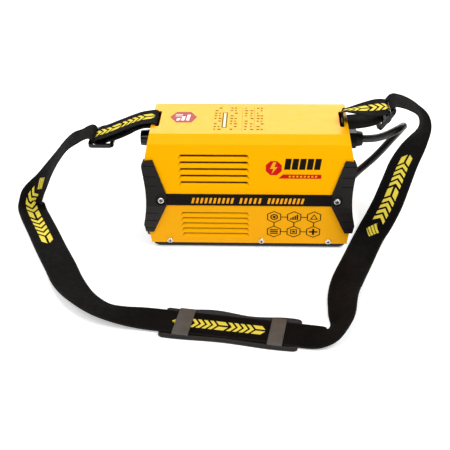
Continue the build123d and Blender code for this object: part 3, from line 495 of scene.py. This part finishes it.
def ribbon(name, run, places, ways, look, closed=False):
    """Webbing along places, its width along ways, all in millimetres."""
    profile = web_profile()
    tangents = np.gradient(places, axis=0)
    if closed:
        tangents[0] = tangents[-1] = places[1] - places[-2]
    verts, uvs = [], []
    for place, way, tangent, s in zip(places, ways, tangents, run):
        tangent = tangent / np.linalg.norm(tangent)
        way = way - tangent * (way @ tangent) * SQUARING
        way = way / np.linalg.norm(way)
        normal = np.cross(way, tangent)
        normal = normal / np.linalg.norm(normal)
        for x, t, u in profile:
            verts.append((place + way * x + normal * t) * MM)
            uvs.append((u * MM, s * MM))
    faces = tube_faces(len(profile), len(places), capped=not closed)
    return mesh_piece(name, verts, faces, look, uvs)


# ---------------------------------------------------------------- the strap
# Where the webbing's middle lies, from the left slider round to the right one: X, Y, Z in
# millimetres, the way its width points seen from above, and its bank, in degrees.
STRAP_RUN = (
    (-197.8, 0, 137.0, 90, 0),
    (-197.6, 0, 141.6, 90, 0),
    (-198.8, 0, 145.4, 90, 0),
    (-202.6, 0, 147.0, 90, 0),
    (-208.6, 0, 145.0, 90, 0),
    (-216, 0, 140.6, 90, 0),
    (-229, 1, 133, 86, 8),
    (-243, 7, 117, 84, 18),
    (-260, 22, 91, 86, 26),
    (-276, 38, 64, 97, 28),
    (-293, 51, 36, 115, 22),
    (-311, 60, 8, 155, 0),
    (-308, 50, 2, 165, 0),
    (-298, 27, 2, 179, 0),
    (-280, -10, 2, 189, 0),
    (-260, -52, 2, 204, 0),
    (-240, -92, 2, 206, 0),
    (-222, -130, 4, 209, 6),
    (-200, -164, 8, 226, 16),
    (-172, -189, 9, 243, 16),
    (-146, -197, 7, 257, 8),
    (-119, -199, 4.2, 261.5, 0),
    (-70, -206.3, 4.2, 261.5, 0),
    (28, -220.7, 4.2, 261.5, 0),
    (84, -229, 4.2, 261.5, 0),
    (98, -227.5, 7, 276, 16),
    (109, -213, 13, 305, 34),
    (112, -184, 14, 345, 34),
    (116, -150, 9, 350, 18),
    (124, -115, 3, 343, 2),
    (138, -75, 2, 340, 0),
    (153, -33, 2, 337, 0),
    (163, -9, 4, 337, -4),
    (174, 5, 16, 340, -14),
    (184, 14, 34, 347, -16),
    (193, 19, 62, 360, -16),
    (201, 20, 92, 368, -14),
    (210, 15, 121, 380, -8),
    (216, 8, 146, 400, 0),
    (214, 2, 167, 432, 0),
    (206, 1, 180, 449, 0),
    (193, 0, 188.4, 450, 0),
    (184.4, 0, 191.4, 450, 0),
    (179.2, 0, 192.4, 450, 0),
    (175.0, 0, 191.2, 450, 0),
    (172.6, 0, 188.2, 450, 0),
    (173.2, 0, 184.8, 450, 0),
    (175.8, 0, 182.2, 450, 0),
)
# Where each yellow figure begins along the strap, in millimetres, and its stretch.
FIGURE_STARTS = ((146, 1.50), (583, 0.96), (994, 1.15))
# X and Z of the places where the two curved ends are cut from the part that swings.
LEFT_CUT = (-252, 104)
RIGHT_CUT = (208, 115)
# The webbing's slack waves: their height, their length over tau, how high the webbing is where they
# begin, and how much higher it is where they are whole, in millimetres.
SLACK = 0.5
SLACK_WAVE = 23.0
SLACK_FROM_Z = 6.0
SLACK_RISE = 20.0
# Distance between two sections of the strap, and of an end loop, in millimetres.
STRAP_STEP = 2.0
LOOP_STEP = 1.2

run, rows = through(STRAP_RUN, STRAP_STEP)
turn, bank = np.radians(rows[:, 3]), np.radians(rows[:, 4])
ways = np.stack([np.cos(bank) * np.cos(turn), np.cos(bank) * np.sin(turn), np.sin(bank)], 1)
places = rows[:, :3].copy()
places[:, 2] += SLACK * np.sin(run / SLACK_WAVE) * np.clip((places[:, 2] - SLACK_FROM_Z) / SLACK_RISE, 0, 1)


def nearest(x, z):
    """Index of the strap's place nearest to x, z, seen from the side."""
    return int(np.argmin(np.hypot(places[:, 0] - x, places[:, 2] - z)))


first_cut = nearest(*LEFT_CUT)
last_cut = nearest(*RIGHT_CUT)
strap_look = webbing("figured_webbing", FIGURE_STARTS)
spans = {
    "strap_left_end": slice(0, first_cut + 1),
    "strap_main": slice(first_cut, last_cut + 1),
    "strap_right_end": slice(last_cut, len(run)),
}
strap = {n: ribbon(n, run[k], places[k], ways[k], strap_look) for n, k in spans.items()}
for piece in strap.values():
    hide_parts("strap_webbing")
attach(strap["strap_main"], "strap")
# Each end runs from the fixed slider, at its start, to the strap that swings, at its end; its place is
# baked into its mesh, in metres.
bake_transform(strap["strap_left_end"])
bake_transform(strap["strap_right_end"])

# End loops: closed bands through the cover's slots and round the sliders' middle bars.
# Each row is X and Z of the near edge, then of the far edge, in millimetres.
LEFT_LOOP = (
    (-116.2, 162.8, -116.2, 162.8), (-116.2, 167.4, -116.4, 167.0), (-118.6, 169.0, -119.4, 168.2),
    (-127, 168.6, -128, 167.4), (-136, 167.0, -137, 165.6), (-148, 162.6, -149, 161.4),
    (-160, 157.6, -160, 156.8), (-172, 152.4, -172, 151.8), (-184, 147.4, -184, 146.8),
    (-191.6, 145.2, -191.6, 144.8), (-195.8, 141.0, -195.8, 141.0), (-192.6, 136.2, -192.6, 136.2),
    (-187, 135.0, -187, 135.0), (-183.8, 136.0, -183.8, 136.0), (-181.8, 140.0, -181.8, 140.0),
    (-178.6, 142.4, -178.6, 142.4), (-171, 144.6, -171, 144.6), (-158, 149.8, -158, 149.8),
    (-148, 154.8, -148, 154.8), (-141, 158.8, -141, 158.8), (-132, 162.0, -132, 162.0),
    (-124, 162.6, -124, 162.6), (-119, 162.4, -119, 162.4),
)
RIGHT_LOOP = (
    (116.3, 162.8, 116.3, 162.8), (116.3, 167.6, 116.4, 166.8), (115.2, 175.0, 117.4, 168.6),
    (114.0, 182.5, 119.2, 170.2), (115.6, 185.6, 121.6, 171.4), (120.8, 184.8, 125.3, 172.8),
    (135.0, 182.2, 137.0, 177.6), (148.0, 180.6, 147.6, 181.6), (157.5, 180.2, 157.8, 184.4),
    (164.0, 181.4, 164.6, 184.8), (170.0, 182.0, 170.0, 183.4), (173.6, 178.8, 173.6, 178.8),
    (172.6, 173.6, 172.6, 173.6), (169.0, 170.0, 169.0, 170.0), (165.4, 171.0, 165.4, 171.0),
    (161.4, 171.8, 161.4, 171.8), (155.4, 168.4, 155.4, 168.4), (146, 165.4, 146, 165.4),
    (136, 163.6, 136, 163.6), (124, 162.4, 124, 162.4), (119, 162.2, 119, 162.2),
)


def end_loop(name, edges, figure_start):
    """One end loop, with a figure that begins at figure_start millimetres along it."""
    rows_of_loop = [(nx, -WEB_HALF, nz, fx, WEB_HALF, fz) for nx, nz, fx, fz in edges]
    along, line = through(rows_of_loop, LOOP_STEP, closed=True)
    near, far = line[:, :3], line[:, 3:]
    look = webbing(name + "_web", ((figure_start, 1.0),))
    piece = ribbon(name + "_band", along, (near + far) / 2, near - far, look, closed=True)
    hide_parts(name)
    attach(piece, "casing")


# The left one is taken backwards, so that the figured face of both is outside.
end_loop("left_strap_loop", LEFT_LOOP[::-1], 57.0)
end_loop("right_strap_loop", RIGHT_LOOP, -12.0)

# ---------------------------------------------------------------- shoulder pad
PAD_TURN = math.radians(-8.5)
# Length, and the reach of the near and the far edge from the middle, in millimetres.
PAD_LENGTH = 160.0
PAD_NEAR = 25.4
PAD_FAR = 25.0
PAD_SECTIONS = 67
# The last part of each half of the pad, where its corners round off, and by how much.
PAD_CORNER = 0.06
PAD_ROUNDING = 2.4
pad_low, pad_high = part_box("shoulder_pad")
pad_mid = (pad_low + pad_high) / 2
pad_to_frame = Matrix.Translation((pad_mid.x, pad_mid.y, 0)) @ Matrix.Rotation(PAD_TURN, 4, "Z")


def pad_point(x, y, z):
    """Place on the pad: x along it, y across it and z up, in millimetres."""
    return pad_to_frame @ Vector((x * MM, y * MM, z * MM))


def lofted(name, sections, look):
    """A capped tube through sections, each a ring of places, that rides the pad."""
    verts = [p for ring in sections for p in ring]
    faces = tube_faces(len(sections[0]), len(sections), capped=True)
    made = mesh_piece(name, verts, faces, look)
    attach(made, "pad")
    return made


def pad_base():
    """Rubber base whose long edges stand up beside the webbing and sway along the pad."""
    rings = []
    for x in np.linspace(-PAD_LENGTH / 2, PAD_LENGTH / 2, PAD_SECTIONS):
        # From -1 to 1 along the pad.
        t = x / (PAD_LENGTH / 2)
        end = max(0.0, abs(t) - (1 - PAD_CORNER)) / PAD_CORNER
        trim = PAD_ROUNDING * end * end
        sway = math.sin(math.tau * t / 1.1)
        near = PAD_NEAR - 1.2 * math.sin(math.tau * (t + 0.45) / 1.5) - trim
        far = PAD_FAR - 1.5 * sway - trim
        lift = 1.2 - sway
        outline = [
            (-near, 0.4), (-near - 0.5, 2.0), (-near - 0.3, 4.2), (-near + 0.8, 5.6),
            (-near + 2.4, 5.4), (-near + 3.2, 3.4), (-19.6, 2.9), (0, 2.8),
            (19.6, 2.9), (far - 3.2, 3.6), (far - 2.4, 5.2 + lift * 0.5),
            (far - 0.8, 5.4 + lift * 0.6), (far + 0.3, 4.4), (far + 0.5, 2.0), (far, 0.4), (0, 0.25),
        ]
        rings.append([pad_point(x, y, z) for y, z in outline])
    return lofted("shoulder_pad_base", rings, LOOKS["pad_rubber"])


def pad_bridge(name, x_mid, wide):
    """Flat loop of the pad over the webbing, rooted in both edges. Wide scales it along the pad."""
    look = plain(name + "_rubber", (0.098, 0.086, 0.077), 0.52, grain=1500, strength=0.35,
                 shade=0.2, edge=0.0)
    rings = []
    # Half of the section goes over the webbing, half comes back under the arch.
    arch = [(-25.6, 2.0), (-25.2, 5.0), (-23.2, 6.7), (-19.5, 7.15), (0, 7.3),
            (19.5, 7.15), (23.2, 6.7), (25.2, 5.0), (25.6, 2.0)]
    under = [(24.0, 2.0), (23.4, 4.4), (21.6, 5.3), (0, 5.5), (-21.6, 5.3), (-23.4, 4.4), (-24.0, 2.0)]
    for dx, shrink in ((-8.6, 0.5), (-8.2, 0.15), (-7.0, 0), (0, 0), (7.0, 0), (8.2, 0.15), (8.6, 0.5)):
        x = x_mid + dx * wide
        ring = [pad_point(x, y, z - shrink) for y, z in arch]
        ring += [pad_point(x, y, z + shrink * 0.3) for y, z in under]
        rings.append(ring)
    return lofted(name, rings, look)


base = pad_base()
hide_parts("shoulder_pad")
for name, x, wide in (("pad_bridge_left", -55, 1.12), ("pad_bridge_right", 54, 1.0)):
    pad_bridge(name, x, wide)

# ---------------------------------------------------------------- printing on the casing
cover_low, cover_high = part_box("top_cover")
SIDE_Y = cover_low.y
TOP_Z = cover_high.z
BAND_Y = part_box("left_side_band")[0].y
# The side leans in below this height, by this much per metre.
BEND_Z = 0.0735
TAPER = 14.5 / 65.0
# How far a print stands off the paint.
LIFT = 0.00012


def on_side(x, z):
    """Place on the near side at x, z in millimetres, just off the paint."""
    z = z * MM
    y = SIDE_Y + max(0.0, BEND_Z - z) * TAPER
    return Vector((x * MM, y - LIFT, z - (LIFT * TAPER if z < BEND_Z else 0)))


def over_side_print(x, z):
    """Place on top of another print on the near side."""
    return on_side(x, z) - Vector((0, LIFT, 0))


def on_band(x, z):
    """Place on the near trim band."""
    return Vector((x * MM, BAND_Y - LIFT, z * MM))


def on_top(x, y):
    """Place on top of the cover."""
    return Vector((x * MM, y * MM, TOP_Z + LIFT))


def on_sticker(x, y):
    """Place on the sticker, which is on top of the cover."""
    return Vector((x * MM, y * MM, TOP_Z + 2.2 * LIFT))


def printed(name, shapes, place, look):
    """Flat printed shapes, each a list of corners in millimetres or an (outer, inner) pair of rings."""
    verts, faces = [], []
    for shape in shapes:
        if isinstance(shape, tuple):
            outer, inner = shape
            n, first = len(outer), len(verts)
            verts += [place(*p) for p in outer] + [place(*p) for p in inner]
            faces += [
                (first + k, first + (k + 1) % n, first + n + (k + 1) % n, first + n + k)
                for k in range(n)
            ]
        else:
            faces.append(tuple(range(len(verts), len(verts) + len(shape))))
            verts += [place(*p) for p in shape]
    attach(mesh_piece(name, verts, faces, look, smooth=False), "casing")


def regular(x, z, radius, sides, turn=0.0):
    """Corners of a regular polygon."""
    return [
        (x + radius * math.cos(math.radians(turn + 360 * k / sides)),
         z + radius * math.sin(math.radians(turn + 360 * k / sides)))
        for k in range(sides)
    ]


def bar(x0, z0, x1, z1, slant=0.0):
    """Corners of a rectangle, its top moved along by slant."""
    return [(x0, z0), (x1, z0), (x1 + slant, z1), (x0 + slant, z1)]


def ring(x, z, radius, width, sides, turn=0.0):
    """Outer and inner corners of a regular polygon's outline."""
    return (regular(x, z, radius, sides, turn), regular(x, z, radius - width, sides, turn))


black_ink = ink("black_ink", (0.010, 0.008, 0.006), 0.5, 0.03)
red_ink = ink("red_ink", (0.60, 0.004, 0.004))
yellow_ink = ink("yellow_ink", (0.95, 0.42, 0.01))
pale_ink = ink("pale_ink", (0.92, 0.80, 0.62))
band_ink = ink("band_ink", (0.96, 0.40, 0.006))
fine_ink = ink("fine_ink", (0.26, 0.17, 0.03), 0.6, 0.0)


def print_badge():
    """An octagon with a bolt in it, a row of slanted stripes and a red strip with ticks."""
    x_mid, z_mid, radius = 30.6, 128.0, 10.6
    bolt_scale = 0.78
    bolt = [
        (-1.0, 10.5), (-6.0, -1.2), (-0.6, -1.2), (-3.4, -10.5), (6.0, 2.0), (0.8, 2.0), (4.0, 10.5),
    ]
    bolt = [(x_mid + bolt_scale * x, z_mid + bolt_scale * z) for x, z in bolt]
    stripes = [bar(43.2 + 9.1 * k, 126.0, 50.6 + 9.1 * k, 141.2, 1.8) for k in range(5)]
    strip = [(36.4, 113.5), (89, 113.5), (89, 119.3), (42.0, 119.3)]
    ticks = [bar(49 + 4.6 * k, 115.2, 51.4 + 4.6 * k, 117.6, 0.6) for k in range(8)]
    printed("badge_disc", [regular(x_mid, z_mid, radius, 8, 22.5)], on_side, red_ink)
    printed("badge_bolt", [bolt], over_side_print, yellow_ink)
    printed("badge_stripes", stripes, on_side, black_ink)
    printed("badge_strip", [strip], on_side, red_ink)
    printed("badge_ticks", ticks, over_side_print, yellow_ink)


def print_icon_grid():
    """Six linked hexagons with a simple figure in each."""
    columns = (32.2, 57.5, 82.6)
    left, middle, right = columns
    rows = (55.2, 29.6)
    top, bottom = rows
    icons = [ring(x, z, 10.3, 1.45, 6, 30) for x in columns for z in rows]
    # Links.
    icons += [bar(x + 8.8, z - 0.65, x + 16.4, z + 0.65) for x in columns[:2] for z in rows]
    icons += [bar(x - 0.65, bottom + 10.1, x + 0.65, top - 10.1) for x in columns]
    # Ring and dot, rising bars and triangle in the upper row.
    icons += [ring(left, top, 5.0, 1.7, 20), regular(left, top, 2.0, 16)]
    icons += [
        bar(middle - 5 + 2.7 * k, top - 4.6, middle - 3.1 + 2.7 * k, top - 1.4 + 1.9 * k)
        for k in range(4)
    ]
    icons += [ring(right, top - 0.8, 6.0, 2.4, 3, 90)]
    # Lines, nested squares and cross in the lower row.
    icons += [
        bar(left - 5.2, bottom - 4.0 + 3.1 * k, left + 5.2, bottom - 2.2 + 3.1 * k) for k in range(3)
    ]
    icons += [ring(middle, bottom, 6.0, 1.7, 4, 45), regular(middle, bottom, 2.3, 4, 45)]
    arm, half = 5.4, 1.3
    icons += [
        bar(right - arm, bottom - half, right + arm, bottom + half),
        bar(right - half, bottom + half, right + half, bottom + arm),
        bar(right - half, bottom - arm, right + half, bottom - half),
    ]
    printed("icon_grid", icons, on_side, black_ink)


def print_band():
    """Slanted blocks on the trim band, in three groups."""
    pitch = 5.2
    blocks = []
    for x_from, x_to in ((-72.0, -17.5), (-12.0, 17.5), (23.0, 70.0)):
        count = int((x_to - x_from) / pitch)
        step = (x_to - x_from) / count
        blocks += [
            bar(x_from + step * k, 77.6, x_from + step * k + 2.9, 85.6, 1.9) for k in range(count)
        ]
    printed("band_blocks", blocks, on_band, band_ink)


def print_sticker():
    """A red hexagon with white bars, on top near the front."""
    outline = [(-100.3, 4.5), (-92.6, 19.2), (-74.2, 19.2), (-66.2, 4.5), (-72.2, -11.3), (-91.4, -11.3)]
    printed("top_sticker", [outline], on_top, ink("sticker_red", (0.42, 0.035, 0.03), 0.42, 0.14))
    figure = [bar(-92 + 6.2 * k, -6.0, -88 + 6.2 * k, 0.5 + 5.0 * k, 1.2) for k in range(3)]
    figure += [bar(-93.5, 6.0 + 4.0 * k, -84.5, 7.6 + 4.0 * k) for k in range(2)]
    printed("sticker_figure", figure, on_sticker, ink("sticker_white", (0.9, 0.80, 0.75), 0.3, 0.5))


def print_rating_table():
    """A boxed strip, two rules and rows of short dashes."""
    box_outer = [(-34.2, -25.2), (-27.6, -25.2), (-27.6, 18.0), (-34.2, 18.0)]
    box_inner = [(-32.4, -23.6), (-29.4, -23.6), (-29.4, 16.4), (-32.4, 16.4)]
    table = [(box_outer, box_inner)]
    table += [bar(x - 0.15, -33, x + 0.15, 34) for x in (-9.0, 6.0)]
    dash_columns = (-44.0, -39.0, -24.0, -19.0, -6.0, 1.0, 9.0, 14.0)
    for row in range(9):
        y = -31.0 + 7.6 * row
        for column, x in enumerate(dash_columns):
            wide = 2.2 + ((row * 5 + column * 3) % 4) * 0.6
            if (row + column) % 5 != 3:
                table.append(bar(x, y, x + wide, y + 3.0))
    printed("rating_table", table, on_top, fine_ink)
    printed("table_box", [box_inner], on_top, pale_ink)


print_badge()
print_icon_grid()
print_band()
print_sticker()
print_rating_table()

# ---------------------------------------------------------------- stage, light and camera
scene = bpy.context.scene
# The floor reaches this far to each side, and lies a little below what rests on it.
FLOOR_HALF = 6.0
FLOOR_Z = -0.0002
FLOOR_WHITE = 0.82
# Glow of the floor as a light, to the camera nearby and to the camera far away, where it is as white
# as the backdrop, and the distances between which it changes.
FLOOR_LIGHT = 0.20
FLOOR_SEEN_NEAR = 0.42
FLOOR_SEEN_FAR = 1.0
FLOOR_FADE = (0.9, 2.0)
BACKDROP_LIGHT = 0.30
BACKDROP_SEEN = 1.0


def pale_floor():
    """Matt white that fades into the backdrop far away, where the camera sees it."""
    s = Shader("pale_floor", (FLOOR_WHITE, FLOOR_WHITE, FLOOR_WHITE), 0.9)
    s.vary_color(3.0, 0.01)
    s.bsdf.inputs["Specular IOR Level"].default_value = 0.0
    s.bsdf.inputs["Emission Color"].default_value = (1, 1, 1, 1)
    distance = s.tree.nodes.new("ShaderNodeVectorMath")
    distance.operation = "LENGTH"
    s.put(distance.inputs[0], s.position())
    seen = s.remap(distance.outputs["Value"], *FLOOR_FADE, FLOOR_SEEN_NEAR, FLOOR_SEEN_FAR)
    to_camera = s.node("ShaderNodeLightPath", "Is Camera Ray")
    s.put(s.bsdf.inputs["Emission Strength"], s.remap(to_camera, 0.0, 1.0, FLOOR_LIGHT, seen))
    return s.material


floor_corners = [
    (x * FLOOR_HALF, y * FLOOR_HALF, FLOOR_Z) for x, y in ((-1, -1), (1, -1), (1, 1), (-1, 1))
]
mesh_piece("floor", floor_corners, [(0, 1, 2, 3)], pale_floor())

# White to the camera, dimmer as a light.
world = bpy.data.worlds.new("studio")
world.use_nodes = True
tree = world.node_tree
backdrop = tree.nodes["Background"]
backdrop.inputs["Color"].default_value = (1, 1, 1, 1)
strength = tree.nodes.new("ShaderNodeMapRange")
strength.inputs["To Min"].default_value = BACKDROP_LIGHT
strength.inputs["To Max"].default_value = BACKDROP_SEEN
to_camera = tree.nodes.new("ShaderNodeLightPath").outputs["Is Camera Ray"]
tree.links.new(to_camera, strength.inputs["Value"])
tree.links.new(strength.outputs["Result"], backdrop.inputs["Strength"])
scene.world = world


def softbox(name, place, target, size, power):
    """Rectangular light at place, facing target, with its size in metres and its power in watts."""
    data = bpy.data.lights.new(name, "AREA")
    data.shape = "RECTANGLE"
    data.size, data.size_y = size
    data.energy = power
    lamp = bpy.data.objects.new(name, data)
    lamp.location = place
    lamp.rotation_euler = (Vector(target) - Vector(place)).to_track_quat("-Z", "Y").to_euler()
    scene.collection.objects.link(lamp)


softbox("back_wall", (0.0, 2.3, 1.55), (0, 0, 0.15), (3.6, 1.1), 70)
softbox("key", (1.15, -1.25, 2.2), (0, 0, 0.1), (0.9, 0.9), 41)
softbox("fill", (-0.95, -1.35, 2.15), (0, 0, 0.1), (1.3, 1.3), 24)

# The camera stands about a metre off the near side, looking 32 degrees down.
LENS = 72.4
SENSOR = 36.0
CAMERA_PLACE = (0.01804, -1.02951, 0.66342)
PITCH, YAW, ROLL = (math.radians(a) for a in (32.459, -2.843, -0.998))
ahead = Vector((math.sin(YAW) * math.cos(PITCH), math.cos(YAW) * math.cos(PITCH), -math.sin(PITCH)))
level = Vector((math.cos(YAW), -math.sin(YAW), 0))
up = level.cross(ahead)
right = level * math.cos(ROLL) + up * math.sin(ROLL)
above = up * math.cos(ROLL) - level * math.sin(ROLL)
facing = Matrix((right, above, -ahead)).transposed().to_4x4()
data = bpy.data.cameras.new("camera")
data.sensor_width = SENSOR
data.lens = LENS
data.clip_start = 0.01
camera = bpy.data.objects.new("camera", data)
camera.matrix_world = Matrix.Translation(CAMERA_PLACE) @ facing
scene.collection.objects.link(camera)
scene.camera = camera
scene.view_settings.view_transform = "Standard"
